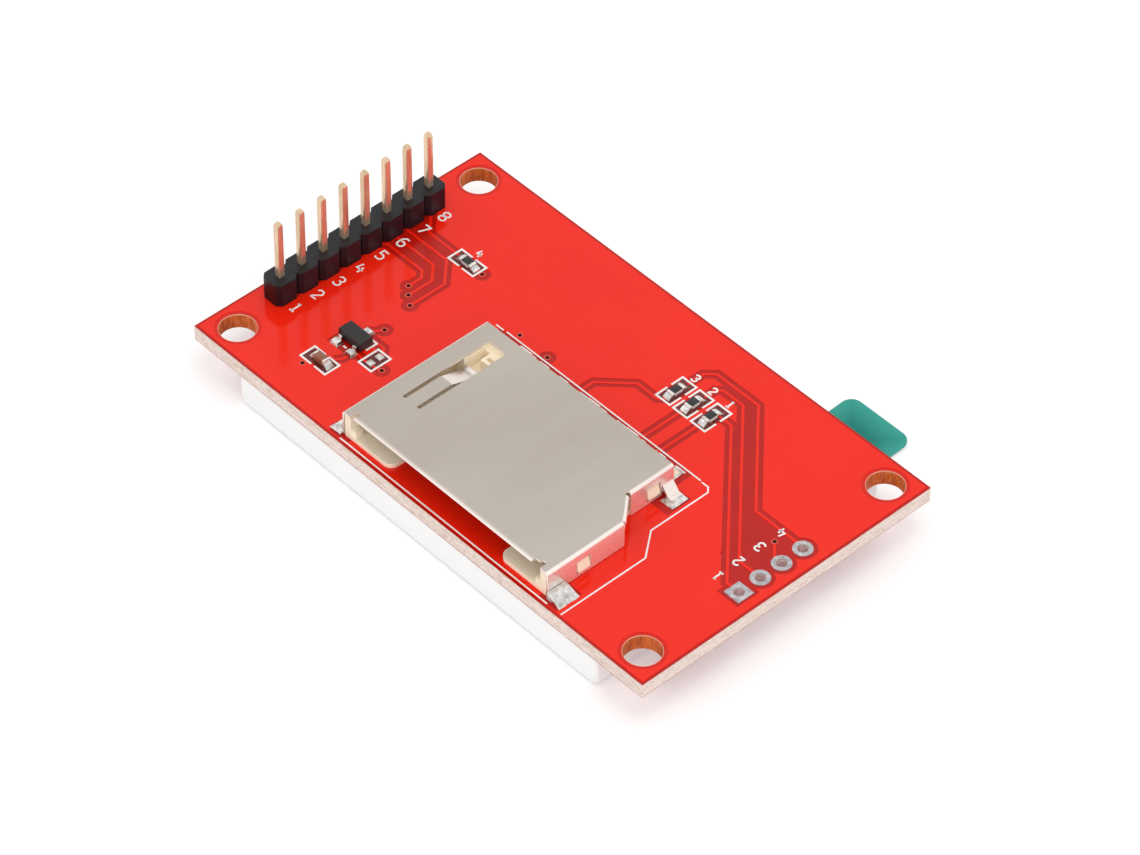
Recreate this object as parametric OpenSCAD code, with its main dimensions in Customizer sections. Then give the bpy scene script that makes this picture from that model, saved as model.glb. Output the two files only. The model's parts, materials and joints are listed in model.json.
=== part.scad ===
// Colour display module, lying on its screen: a red circuit board carries a pin header, a memory
// card socket and a few chip parts on its upper face, and a backlit display on its lower face.
// Origin: centre of the four mounting holes, on the component face. +X runs along the board from
// the header to the card pads, +Y to the side with the film's pull tab, +Z away from the screen.

/* [Board] */
// Length of the circuit board
board_l = 58.4; // [57:0.1:80]
// Width of the circuit board
board_w = 34.3; // [33:0.1:60]
// Thickness of the circuit board
board_t = 1.6; // [1.4:0.1:2.4]
// Diameter of the four mounting holes
hole_d = 3.5; // [2:0.1:4]
// Mounting hole centre to the short edge
hole_end = 2.825; // [2.2:0.005:3.2]
// Mounting hole centre to the long edge
hole_side = 2.7; // [2.2:0.05:3.2]

/* [Pin header] */
// Number of header pins
pins = 8; // [2:1:8]
// Distance between neighbouring pins, and between neighbouring card pads
pitch = 2.54; // [2:0.01:2.6]
// Pin row and card pad row to the short edges
row_end = 2.23; // [1.6:0.01:2.6]
// Width of a square pin
pin_w = 0.64; // [0.4:0.02:0.7]
// Tip of a pin above the board
pin_up = 8.94; // [5:0.01:14]
// Tail of a pin below the board
pin_tail = 1.1; // [0.5:0.1:2]
// Height of the header's moulded body
header_h = 2.54; // [1.5:0.01:4]
// Width of the header's moulded body
header_w = 2.5; // [2:0.1:3]

/* [Card socket] */
// Width of the pressed shell
shell_w = 26.5; // [26.2:0.1:30]
// Depth of the pressed shell
shell_d = 16.85; // [16:0.05:20]
// Height of the shell's top above the board
shell_h = 2.9; // [2.7:0.05:4]
// Thickness of the shell's sheet
shell_t = 0.2; // [0.15:0.01:0.24]
// Shell centre to the short edge at the card pads
shell_end = 25.95; // [23:0.05:27]
// Shell mouth to the long edge
shell_side = 0.9; // [0.6:0.05:4]
// Width that the card's cut corner takes off the back of the shell
corner_w = 2.25; // [1.5:0.05:3]
// Width of the card
card_w = 24; // [23:0.5:24.2]
// Thickness of a contact spring
contact_t = 0.18; // [0.1:0.01:0.25]
// Width of a contact spring
contact_w = 0.8; // [0.5:0.05:1.2]

/* [Display] */
// Bare board beyond each end of the display
display_end = 5.85; // [5.3:0.05:10]
// Bare board beyond each side of the display
display_side = 0.15; // [0:0.05:4]
// Thickness of the foam tape between board and display
tape_t = 0.3; // [0.2:0.05:1]
// Height of the white display frame
frame_h = 3; // [2.6:0.05:5]
// Thickness of the frame's rim round the glass
rim_w = 0.8; // [0.5:0.05:1.2]
// Thickness of each sheet of glass
glass_t = 0.55; // [0.3:0.05:0.7]
// Width of the flexible tail
flex_w = 16; // [8:0.5:20]
// Thickness of the flexible tail
flex_t = 0.12; // [0.06:0.01:0.14]

/* [Film] */
// Thickness of the clear protective film
film_t = 0.06; // [0.04:0.01:0.2]
// Thickness of the pull tab
tab_t = 0.08; // [0.04:0.01:0.09]
// Width of the pull tab
tab_w = 7.7; // [4:0.1:12]
// Length of the pull tab beyond the display
tab_out = 6.6; // [3:0.1:12]
// End of the display to the pull tab
tab_end = 2.85; // [1:0.05:20]

/* [Hidden] */
$fn = 48;
slip = 0.05;
hide = 1;

// board
west = -board_l / 2;
east = board_l / 2;
south = -board_w / 2;
hole_x = east - hole_end;
hole_y = -south - hole_side;
pin_x = west + row_end;
pad_x = east - row_end;
pin_hole_d = 1.02;
pads = 4;
pad_d = 1.85;
pad_hole_d = 1;
plating = 0.05;

// chip parts: [distance from an end of the board, y]; the resistors' bodies are 1.6 by 0.8
regulator_at = [west + 11.15, -7.75];
regulator_size = [2.9, 1.6, 1];
capacitor_at = [west + 11.05, -11.75];
jumper_at = [west + 14.25, -8.15];
resistor_at = [
    [east - 18.96, 8.88], [east - 21.2, 8.88], [east - 23.4, 8.88], [west + 10.4, 6.28]
];
resistor_turn = [90, 90, 90, 0];
chip_l = 1.6;
chip_w = 0.8;
chip_h = 0.45;
capacitor_h = 0.8;
lead_t = 0.13;
lead_w = 0.42;
lead_out = 0.7;
lead_pitch = 0.95;

// card socket, in its own axes: x = 0 on its centre line, y = 0 at its mouth
shell_x = east - shell_end;
shell_y = south + shell_side;
rear_x = shell_w / 2 - corner_w;
corner_y = 9.05;
corner_run = 2.55;
corner_end = corner_y + corner_run;
bend_r = 0.35;
wall_low = 0.12;
relief = 0.15;
lip_l = 0.55;
lip_rise = 0.14;
notch = [1, 1.5, 0.85];
window_y = [3.35, 13.65];
window_l = 1.65;
window_low = 0.5;
window_high = 1.9;
spring_y = 5.05;
spring_x = -9.975;
spring_w = 1.45;
slit_w = 0.4;
spring_end = 15.25;
spring_dip = 0.8;
foot_out = 1.2;
near_foot = [0.2, 1.9, 0.3];
far_foot = [shell_d - 1.35, shell_d - 0.1, 1.2];
hook_x = [-8.1, 0.7, 5.6];
hook_w = 1.4;

inner_x = shell_w / 2 - shell_t - slip;
rail_x = card_w / 2 + 0.25;
moulding_h = shell_h - shell_t - slip;
floor_t = 0.5;
bay_w = 14;
arm_r = 0.9;
block_y = 12.3;
block_back = shell_d - 0.45;
step = [0.65, 0.85, 1.2];
peg_d = 1.5;
peg_l = 1.3;
peg_x = 10;
peg_y = 3.6;

contacts = 9;
contact_pitch = 2.5;
contact_last = 1.7;
contact_first = 7.25;
contact_z = 0.84;
contact_rise = 0.78;
contact_reach = 4.7;
ninth_back = 1.6;
foot_end = shell_d + 1.65;

// display: levels go down from the board, lengths run along X
sheet_t = 0.1;
reflector_t = 0.15;
polariser_t = 0.2;
proud = 0.1;
back_z = -board_t - tape_t;
front_z = back_z - frame_h;
screen_z = front_z - proud;
film_z = screen_z - film_t;
array_z = screen_z + polariser_t + glass_t;
panel_z = array_z + glass_t;
guide_z = back_z - reflector_t;
guide_t = guide_z - panel_z - 4 * sheet_t;
display_l = board_l - 2 * display_end;
display_w = board_w - 2 * display_side;
panel_l = display_l - 2 * (rim_w + 2 * slip);
panel_w = display_w - 2 * (rim_w + 2 * slip);
well_l = panel_l - 1.4;
well_w = panel_w - 1;
led_room = 1.5;
led_h = 0.7;
ledge = 3.3;
screen_l = 35.04;
screen_w = 28.03;
screen_x = ledge / 2;
face_border = 0.4;
strip_w = 2.4;

// flexible tail: leaves the glass below the frame's end and returns under the board
flex_low = array_z - flex_t / 2;
solder_t = 0.05;
flex_high = -board_t - solder_t - flex_t / 2;
flex_bend = (flex_high - flex_low) / 2;
flex_pads = 14;
flex_pitch = flex_w / (flex_pads + 0.5);
bond_l = 1;
flex_end = -display_l / 2 + 8.8;

// ---- shared shapes and rules ---------------------------------------------------------------

// y of place i in a row of n, centred on the board
function row_y(i, n) = (i - (n + 1) / 2) * pitch;

// unit normal on the left of the way from a to b
function left_of(a, b) = [a[1] - b[1], b[0] - a[0]] / norm(b - a);

// mitred normal of the path p at its point i
function mitre(p, i) =
    i == 0 ? left_of(p[0], p[1]) :
    i == len(p) - 1 ? left_of(p[i - 1], p[i]) :
    let (m = left_of(p[i - 1], p[i]), n = left_of(p[i], p[i + 1])) (m + n) / (1 + m * n);

// points of an arc round c, in n steps
function arc(c, r, from, to, n = 8) =
    [for (i = [0:n]) let (a = from + (to - from) * i / n) c + r * [cos(a), sin(a)]];

// section of a sheet of thickness t bent along the path p
module strip(p, t) {
    polygon(concat(
        [for (i = [0:len(p) - 1]) p[i] + mitre(p, i) * t / 2],
        [for (i = [len(p) - 1:-1:0]) p[i] - mitre(p, i) * t / 2]
    ));
}

// a section drawn in X and Z, pushed d along +Y
module along_y(d) {
    translate([0, d, 0]) rotate([90, 0, 0]) linear_extrude(d) children();
}

// a section drawn in Y and Z, pushed d along +X
module along_x(d) {
    rotate([90, 0, 90]) linear_extrude(d) children();
}

// a flat rectangle centred on the Z axis, standing on z = 0
module sheet(l, w, h) {
    translate([-l / 2, -w / 2, 0]) cube([l, w, h]);
}

// outline of a rectangle with round corners, centred
module round_rect(l, w, r) {
    square([l - 2 * r, w], center = true);
    square([l, w - 2 * r], center = true);
    for (x = [-1, 1], y = [-1, 1]) translate([x * (l / 2 - r), y * (w / 2 - r)]) circle(r);
}

// fillet of solder in the corner between the board and an end face at x = 0
module fillet(l, h, w) {
    translate([0, -w / 2, 0]) along_y(w) polygon([
        [0, 0], [l, 0], [0.55 * l, 0.16 * h], [0.25 * l, 0.45 * h], [0.1 * l, h], [0, h]
    ]);
}

// ---- board and header ----------------------------------------------------------------------

module drill(x, y, d) {
    translate([x, y, -board_t - hide]) cylinder(h = board_t + 2 * hide, d = d);
}

module circuit_board() {
    color([0.9, 0.16, 0.12]) difference() {
        translate([west, south, -board_t]) cube([board_l, board_w, board_t]);
        for (x = [-1, 1], y = [-1, 1]) drill(x * hole_x, y * hole_y, hole_d);
        for (i = [1:pins]) drill(pin_x, row_y(i, pins), pin_hole_d);
        for (i = [1:pads]) drill(pad_x, row_y(i, pads), pad_hole_d + 2 * plating);
        for (s = [-1, 1]) drill(shell_x + s * peg_x, shell_y + peg_y, peg_d + 2 * slip);
    }
}

module pin_box(i, low, high) {
    translate([pin_x - pin_w / 2, row_y(i, pins) - pin_w / 2, low]) cube([pin_w, pin_w, high - low]);
}

// one block per pin, with cut corners where the strip can be snapped apart
module header_body() {
    cut = 0.45;
    w = header_w / 2;
    p = pitch / 2;
    color([0.08, 0.08, 0.09]) difference() {
        linear_extrude(header_h) for (i = [1:pins]) translate([pin_x, row_y(i, pins)]) polygon([
            [-w, cut - p], [cut - w, -p], [w - cut, -p], [w, cut - p],
            [w, p - cut], [w - cut, p], [cut - w, p], [-w, p - cut]
        ]);
        for (i = [1:pins]) pin_box(i, -hide, header_h + hide);
    }
}

// a square pin, coined to a blunt point at both ends
module header_pin(i) {
    low = -board_t - pin_tail;
    coin = 0.32;
    flat = 0.12;
    w = pin_w / 2;
    side = [
        [-w, low + coin], [-flat, low], [flat, low], [w, low + coin],
        [w, pin_up - coin], [flat, pin_up], [-flat, pin_up], [-w, pin_up - coin]
    ];
    color([0.86, 0.74, 0.5]) translate([pin_x, row_y(i, pins), 0]) intersection() {
        translate([0, -w, 0]) along_y(pin_w) polygon(side);
        translate([-w, 0, 0]) along_x(pin_w) polygon(side);
    }
}

// a cone of solder round each pin's tail
module header_solder() {
    rise = 0.7 * pin_tail;
    color([0.8, 0.8, 0.8]) difference() {
        for (i = [1:pins]) translate([pin_x, row_y(i, pins), -board_t - rise])
            cylinder(h = rise, r1 = 0.5, r2 = 0.9);
        for (i = [1:pins]) pin_box(i, -board_t - pin_tail - hide, hide);
    }
}

// a plated hole with a land on both faces of the board, square on the first
module card_pad(i) {
    color([0.7, 0.72, 0.73]) translate([pad_x, row_y(i, pads), 0]) difference() {
        union() {
            translate([0, 0, -board_t]) cylinder(h = board_t, d = pad_hole_d + 2 * plating);
            for (z = [-board_t - plating, 0]) translate([0, 0, z])
                if (i == 1) sheet(pad_d, pad_d, plating);
                else cylinder(h = plating, d = pad_d);
        }
        translate([0, 0, -board_t - hide]) cylinder(h = board_t + 2 * hide, d = pad_hole_d);
    }
}

// ---- card socket: pressed shell ------------------------------------------------------------

module at_socket() {
    translate([shell_x, shell_y, 0]) children();
}

// outline of the socket from above, with the card's cut corner, moved in by i at its sides
function socket_plan(i, front, back) =
    let (k = corner_run / corner_w, drop = i * (k - sqrt(1 + k * k)))
    [
        [i - shell_w / 2, front], [shell_w / 2 - i, front], [shell_w / 2 - i, corner_y + drop],
        [rear_x - i, corner_end + drop], [rear_x - i, back], [i - shell_w / 2, back]
    ];

// section of the bend from the top into a wall, its outer corner at the origin, the top on +x
module bent_edge(low) {
    difference() {
        intersection() {
            translate([bend_r, -bend_r]) circle(bend_r);
            translate([0, -bend_r]) square(bend_r);
        }
        translate([bend_r, -bend_r]) circle(bend_r - shell_t);
    }
    if (low > bend_r) translate([0, -low]) square([shell_t, low - bend_r]);
}

// what stands at a side of the shell: x = 0 on its outer face, -x outwards
module at_side(s, x) {
    mirror([s > 0 ? 1 : 0, 0, 0]) translate([-x, 0, 0]) children();
}

module shell_wall(from, to) {
    translate([0, from, shell_h]) along_y(to - from) bent_edge(shell_h - wall_low);
}

// a foot bent out of the wall's lower edge onto the board: from, to, height where it leaves
module shell_foot(f) {
    mid = shell_t / 2;
    translate([0, f[0], 0]) along_y(f[1] - f[0]) strip([
        [mid, f[2] + 0.4], [mid, f[2]], [-0.6 * foot_out, mid + wall_low], [-foot_out, mid + slip]
    ], shell_t);
}

// front edge of the top: flared up between the two mouth notches, flat at the corners
module shell_lip() {
    z = shell_h - shell_t / 2;
    from = notch[1] - shell_w / 2;
    to = shell_w / 2 - notch[1] - 0.55;
    translate([from, 0, 0]) along_x(to - from)
        strip([[lip_l + 0.3, z], [lip_l, z], [0.03, z + lip_rise]], shell_t);
    for (s = [-1, 1]) at_side(s, shell_w / 2)
        translate([bend_r, 0, shell_h - shell_t]) cube([notch[0] - bend_r, lip_l, shell_t]);
}

// the slanted edge over the card's cut corner: no wall, only the turned-down bend, which stops
// short of the walls' bends by a relief cut
module shell_slant() {
    run = norm([corner_w, corner_run]);
    translate([shell_w / 2, corner_y, shell_h]) rotate([0, 0, atan2(corner_w, corner_run)])
        translate([0, relief, 0]) mirror([1, 0, 0]) along_y(run - 2 * relief) bent_edge(bend_r + 0.1);
}

// a hook turned down behind the contact block
module shell_hook() {
    z = shell_h - shell_t / 2;
    translate([-hook_w / 2, 0, 0]) along_x(hook_w) strip(concat(
        [[shell_d - 0.5, z]],
        arc([shell_d, z - 0.25], 0.25, 90, 0, 4),
        [[shell_d + 0.25, shell_h - 1.1]]
    ), shell_t);
}

// the spring cut out of the top, bent down to press on the card
module shell_spring() {
    z = shell_h - shell_t / 2;
    r = 2.6;
    dive = 19;
    down = [spring_y + 3.6, z - r];
    up = [down[0] + 2 * r * sin(dive) + (spring_dip - 2 * r * (1 - cos(dive))) / tan(dive), z - spring_dip + r];
    translate([spring_x - spring_w / 2, 0, 0]) along_x(spring_w) strip(concat(
        [[spring_y - 0.2, z]],
        arc(down, r, 90, 90 - dive, 6),
        arc(up, r, 270 - dive, 270, 6),
        arc(up - [0, r - 0.6], 0.6, 275, 320, 4)
    ), shell_t);
}

// U-shaped cut that frees the spring, wider beyond its tip
module spring_slot() {
    w = spring_w / 2 + slit_w;
    translate([spring_x, 0, shell_h - 0.5]) linear_extrude(1) {
        for (s = [-1, 1]) translate([s * (w - slit_w / 2), 0]) {
            translate([0, spring_y + slit_w / 2]) circle(d = slit_w);
            translate([-slit_w / 2, spring_y + slit_w / 2]) square([slit_w, 8]);
        }
        translate([-w, spring_y + 4.2]) square([2 * w, spring_end - spring_y - 4.2 - 0.2]);
        translate([0.2 - w, spring_end - 0.3]) square([2 * w - 0.4, 0.3]);
        for (s = [-1, 1]) translate([s * (w - 0.2), spring_end - 0.2]) circle(0.2);
    }
}

module shell_window(y) {
    translate([-hide, y, window_low]) cube([2 * hide, window_l, window_high - window_low]);
}

module socket_shell() {
    color([0.74, 0.7, 0.64]) at_socket() {
        difference() {
            union() {
                translate([0, 0, shell_h - shell_t]) linear_extrude(shell_t)
                    polygon(socket_plan(bend_r, lip_l, shell_d));
                shell_lip();
                shell_slant();
                at_side(-1, shell_w / 2) shell_wall(0, shell_d);
                at_side(1, shell_w / 2) shell_wall(0, corner_y - relief);
                at_side(1, rear_x) shell_wall(corner_end + relief, shell_d);
                for (x = hook_x) translate([x, 0, 0]) shell_hook();
            }
            for (s = [-1, 1]) at_side(s, shell_w / 2) shell_window(window_y[0]);
            at_side(-1, shell_w / 2) shell_window(window_y[1]);
            at_side(1, rear_x) shell_window(window_y[1]);
            for (s = [-1, 1]) at_side(s, shell_w / 2)
                translate([notch[0], -hide, shell_h - 0.5]) cube([notch[1] - notch[0], notch[2] + hide, 1]);
            for (f = [[-1, shell_w / 2], [1, rear_x]]) at_side(f[0], f[1])
                translate([-hide, far_foot[0] - slip, 0])
                    cube([2 * hide, far_foot[1] - far_foot[0] + 2 * slip, far_foot[2]]);
            spring_slot();
        }
        shell_spring();
        for (s = [-1, 1]) at_side(s, shell_w / 2) shell_foot(near_foot);
        for (f = [[-1, shell_w / 2], [1, rear_x]]) at_side(f[0], f[1]) shell_foot(far_foot);
    }
}

// ---- card socket: moulded housing ----------------------------------------------------------

// floor outline: two arms beside an open bay, with round front corners
module housing_floor() {
    difference() {
        polygon(socket_plan(shell_t + slip, slip, block_back));
        translate([-bay_w / 2, -hide]) square([bay_w, block_y + hide]);
        for (s = [-1, 1]) translate([s * bay_w / 2, slip]) difference() {
            square(2 * arm_r, center = true);
            translate([s * arm_r, arm_r]) circle(arm_r);
            translate([s > 0 ? arm_r : -2 * arm_r, -hide]) square([arm_r, 3 * arm_r]);
        }
    }
}

// a wedge on the rail that snaps into the shell's window
module lug(y) {
    low = window_low + 2 * slip;
    high = window_high - 0.15;
    out = shell_t + slip;
    translate([shell_w / 2 - out - slip, y + 0.15, 0]) along_y(window_l - 0.3) polygon([
        [0, low], [out + 0.16, low], [out + 0.16, low + 0.15], [out - 0.1, high], [0, high]
    ]);
}

// slot through the contact block for a contact's beam
module contact_slot(i) {
    translate([contact_x(i) - contact_w / 2 - slip / 2, block_y - hide, contact_z - contact_t / 2 - slip / 2])
        cube([contact_w + slip, block_back - block_y + 2 * hide, contact_t + slip]);
}

module socket_housing() {
    rail_w = inner_x - rail_x;
    color([0.88, 0.82, 0.7]) at_socket() difference() {
        union() {
            linear_extrude(floor_t) housing_floor();
            translate([-inner_x, slip, 0]) cube([rail_w, block_back - slip, moulding_h]);
            translate([rail_x, slip, 0]) cube([rail_w, corner_y - 0.3, moulding_h]);
            translate([-inner_x, block_y, 0])
                cube([inner_x + rear_x - shell_t - slip, block_back - block_y, moulding_h]);
            translate([-rail_x - slip, 2 * slip, 0]) cube([step[0] + slip, step[1], step[2]]);
            translate([rail_x - step[0], 2 * slip, 0]) cube([step[0] + slip, step[1], step[2]]);
            for (s = [-1, 1]) mirror([s > 0 ? 0 : 1, 0, 0]) lug(window_y[0]);
            mirror([1, 0, 0]) lug(window_y[1]);
            translate([-corner_w, 0, 0]) lug(window_y[1]);
            for (s = [-1, 1]) translate([s * peg_x, peg_y, -peg_l]) cylinder(h = peg_l + floor_t / 2, d = peg_d);
        }
        for (i = [1:contacts]) contact_slot(i);
        spring_pocket();
        for (f = [[-1, shell_w / 2], [1, rear_x]]) at_side(f[0], f[1])
            translate([0, far_foot[0] - 0.2, -hide]) cube([shell_t + 2 * slip, 3, far_foot[2] + 0.55 + hide]);
    }
}

// room for the shell's spring in the contact block, a channel past it, a shallow tray and a core hole
module spring_pocket() {
    tray_z = moulding_h - 0.5;
    w = spring_w + 2 * slit_w - 0.1;
    translate([spring_x - w / 2, block_y - hide, contact_z + 0.35]) cube([w, 1.35 + hide, moulding_h]);
    translate([spring_x - w / 2, block_y + 0.9, tray_z]) cube([w, spring_end - block_y - 0.9, 1]);
    translate([spring_x - w / 2, block_y, contact_z + 0.35]) cube([0.6, spring_end - block_y - 0.4, moulding_h]);
    translate([spring_x - 0.2, block_y + 1.75, tray_z - 0.6]) cube([0.75, 0.42, 1]);
}

// ---- card socket: contacts and solder ------------------------------------------------------

// contacts 1 to 7 run towards -x, the eighth stands closer and the ninth by the cut corner
function contact_x(i) =
    i == contacts ? contact_first + contact_pitch :
    i == contacts - 1 ? contact_first - (contacts - 3) * contact_pitch - contact_last :
    contact_first - (i - 1) * contact_pitch;

// section of a contact: foot on the board, beam through the block, arched spring over the bay
module contact_section(back) {
    mid = contact_t / 2;
    tip = block_y - contact_reach + back;
    strip([
        [foot_end, mid], [block_back + 0.75, mid], [block_back + 0.3, contact_z],
        [block_y - 0.2, contact_z], [tip + 0.6, contact_z + contact_rise],
        [tip, contact_z + contact_rise], [tip - 0.7, contact_z + 0.45 * contact_rise]
    ], contact_t);
}

module socket_contact(i) {
    color([0.85, 0.75, 0.5]) at_socket() translate([contact_x(i) - contact_w / 2, 0, 0])
        along_x(contact_w) contact_section(i == contacts ? ninth_back : 0);
}

// solder round the foot of each contact
module contact_solder() {
    wet = 0.2;
    color([0.85, 0.86, 0.86]) at_socket() for (i = [1:contacts])
        translate([contact_x(i) - contact_w / 2 - wet, 0, 0]) difference() {
            along_x(contact_w + 2 * wet) polygon([
                [block_back + 0.9, 0], [foot_end + 0.45, 0], [foot_end + 0.15, 0.08],
                [foot_end, contact_t], [foot_end - 0.5, contact_t - 0.06], [block_back + 0.9, 0.05]
            ]);
            translate([wet, 0, 0]) along_x(contact_w) contact_section(0);
        }
}

// a mound of solder over a shell foot, bare where the foot leaves the wall
module foot_mound(f, l, h) {
    wet = 0.3;
    difference() {
        translate([0, f[0] - wet, 0]) along_y(f[1] - f[0] + 2 * wet) polygon([
            [-0.2, 0], [-l, 0], [-0.94 * l, 0.3 * h], [-0.75 * l, 0.75 * h], [-0.5 * l, h],
            [-0.3 * l, 0.95 * h], [-0.2, 0.5 * h]
        ]);
        shell_foot(f);
        translate([-foot_out, f[0], -hide]) cube([foot_out, f[1] - f[0], hide + wall_low]);
    }
}

module shell_solder() {
    color([0.85, 0.86, 0.86]) at_socket() {
        at_side(1, shell_w / 2) foot_mound(near_foot, 1.8, 0.55);
        at_side(-1, shell_w / 2) foot_mound(near_foot, 1.7, 0.4);
        at_side(1, rear_x) foot_mound(far_foot, 1.9, 0.5);
        at_side(-1, shell_w / 2) foot_mound(far_foot, 1.9, 0.5);
    }
}

// ---- chip parts ----------------------------------------------------------------------------

module at_resistor(i) {
    translate([resistor_at[i - 1][0], resistor_at[i - 1][1], 0]) rotate([0, 0, resistor_turn[i - 1]])
        children();
}

// a ceramic block with a metal cap round each end
module chip(h, cap) {
    sheet(chip_l - 0.04, chip_w - 0.04, h - 0.02);
    for (s = [-1, 1]) translate([s * (chip_l - cap) / 2, 0, 0]) sheet(cap, chip_w, h);
}

module resistor(i) {
    color([0.13, 0.13, 0.14]) at_resistor(i) chip(chip_h, 0.3);
}

module capacitor() {
    color([0.5, 0.34, 0.2]) translate([capacitor_at[0], capacitor_at[1], 0]) chip(capacitor_h, 0.38);
}

// moulded three-leg package: its sides slope both ways from the parting line
module regulator_body() {
    low = 0.1;
    mid = low + 0.5 * regulator_size[2];
    top = low + regulator_size[2];
    w = regulator_size[1] / 2;
    draft = 0.06;
    color([0.13, 0.12, 0.12]) translate([regulator_at[0] - regulator_size[0] / 2, regulator_at[1], 0])
        along_x(regulator_size[0])
            polygon([[draft - w, low], [w - draft, low], [w, mid], [w - draft, top], [draft - w, top], [-w, mid]]);
}

// section of a lead: out of the package, down, and flat on the board
module lead_section() {
    mid = lead_t / 2;
    z = 0.1 + 0.5 * regulator_size[2];
    w = regulator_size[1] / 2;
    strip([[w, z], [w + 0.18, z], [w + 0.3, mid], [w + lead_out, mid]], lead_t);
}

module at_lead(i) {
    translate([regulator_at[0] + [-lead_pitch, lead_pitch, 0][i - 1], regulator_at[1], 0])
        mirror([0, i == 3 ? 0 : 1, 0]) children();
}

module regulator_lead(i) {
    color([0.8, 0.8, 0.8]) at_lead(i) translate([-lead_w / 2, 0, 0]) along_x(lead_w) lead_section();
}

// fillets at the ends of the chips and round the toes of the leads
module chip_solder() {
    color([0.85, 0.86, 0.86]) {
        for (i = [1:4]) at_resistor(i) for (turn = [0, 180]) rotate([0, 0, turn])
            translate([chip_l / 2, 0, 0]) fillet(0.42, 0.85 * chip_h, chip_w);
        translate([capacitor_at[0], capacitor_at[1], 0]) for (turn = [0, 180]) rotate([0, 0, turn])
            translate([chip_l / 2, 0, 0]) fillet(0.42, 0.7 * capacitor_h, chip_w);
        for (i = [1:3]) at_lead(i) difference() {
            toe = regulator_size[1] / 2 + lead_out;
            translate([-lead_w / 2 - 0.2, 0, 0]) along_x(lead_w + 0.4) polygon([
                [toe - 0.45, 0], [toe + 0.32, 0], [toe + 0.12, 0.09], [toe - 0.05, 0.26], [toe - 0.3, 0.24]
            ]);
            translate([-lead_w / 2, 0, 0]) along_x(lead_w) lead_section();
        }
    }
}

// two beads of solder on the open jumper
module jumper_solder() {
    r = 0.55;
    sunk = 0.26;
    color([0.85, 0.86, 0.86]) for (s = [-1, 1])
        translate([jumper_at[0], jumper_at[1] + s * 0.6, 0]) intersection() {
            translate([0, 0, -sunk]) sphere(r);
            sheet(2 * r, 2 * r, r);
        }
}

// ---- display -------------------------------------------------------------------------------

module display_frame() {
    color([0.95, 0.95, 0.93]) difference() {
        translate([0, 0, front_z]) linear_extrude(frame_h) round_rect(display_l, display_w, 0.5);
        translate([0, 0, guide_z]) sheet(panel_l + 2 * slip, panel_w + 2 * slip, frame_h);
        translate([0, 0, front_z - hide]) sheet(well_l, well_w, frame_h + 2 * hide);
        translate([0, 0, front_z - hide])
            sheet(panel_l + 2 * slip, panel_w + 2 * slip, panel_z + sheet_t - front_z + hide);
        translate([-display_l / 2 - hide, -flex_w / 2 - 0.3, front_z - hide])
            cube([rim_w + 2 * hide, flex_w + 0.6, array_z + 0.1 - front_z + hide]);
    }
}

module reflector_sheet() {
    color([0.85, 0.87, 0.88]) translate([0, 0, guide_z]) sheet(panel_l, panel_w, reflector_t);
}

// a layer of the backlight, behind the room for its lamps
module backlight_layer(z, t) {
    l = well_l - led_room - 2 * slip;
    translate([led_room / 2, 0, z]) sheet(l, well_w - 2 * slip, t);
}

module light_guide() {
    color([0.92, 0.96, 0.97]) backlight_layer(guide_z - guide_t, guide_t);
}

module diffuser_sheet() {
    color([0.97, 0.97, 0.97]) backlight_layer(guide_z - guide_t - sheet_t, sheet_t);
}

module prism_sheet(i) {
    color([0.9, 0.93, 0.95]) backlight_layer(guide_z - guide_t - (1 + i) * sheet_t, sheet_t);
}

// lamps on a strip of flexible circuit, shining into the end of the light guide
module led_strip() {
    l = led_room - 0.4;
    color([0.95, 0.93, 0.75]) translate([-well_l / 2 + slip + l / 2, 0, 0]) {
        translate([0, 0, guide_z - sheet_t]) sheet(l, well_w - 4, sheet_t);
        for (y = [-1:1]) translate([0.1, y * well_w / 3.6, guide_z - sheet_t - led_h]) sheet(l - 0.2, 3, led_h);
    }
}

// black adhesive window between the sheets and the glass
module rim_tape() {
    color([0.07, 0.07, 0.07]) translate([0, 0, panel_z]) difference() {
        sheet(panel_l, panel_w, sheet_t);
        translate([screen_x, 0, -hide]) sheet(screen_l + 1.6, screen_w + 1.6, 2 * hide);
    }
}

module rear_polariser() {
    color([0.3, 0.31, 0.33]) translate([screen_x, 0, panel_z])
        sheet(screen_l + 1.4, screen_w + 1.4, sheet_t);
}

module array_glass() {
    color([0.6, 0.68, 0.68]) translate([0, 0, array_z]) sheet(panel_l, panel_w, glass_t);
}

// shorter than the array glass, which leaves the ledge for the driver chip and the tail
module filter_glass() {
    color([0.55, 0.62, 0.62]) translate([ledge / 2, 0, array_z - glass_t])
        sheet(panel_l - ledge, panel_w, glass_t);
}

// stands out of the frame a little
module front_polariser() {
    color([0.09, 0.1, 0.12]) translate([ledge / 2, 0, screen_z])
        sheet(panel_l - ledge - 2 * face_border, panel_w - 2 * face_border, polariser_t);
}

module driver_chip() {
    l = 1.2;
    h = 0.4;
    color([0.25, 0.25, 0.28]) translate([-panel_l / 2 + ledge - 0.4 - l / 2, 0, array_z - h])
        sheet(l, 0.75 * flex_w, h);
}

module flex_tail() {
    bend_x = -display_l / 2 - 0.1;
    color([0.8, 0.5, 0.15]) translate([0, flex_w / 2, 0]) rotate([90, 0, 0]) linear_extrude(flex_w)
        strip(concat(
            [[-panel_l / 2 + 0.15 + bond_l, flex_low]],
            arc([bend_x, (flex_low + flex_high) / 2], flex_bend, 270, 90, 12),
            [[flex_end, flex_high]]
        ), flex_t);
}

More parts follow.
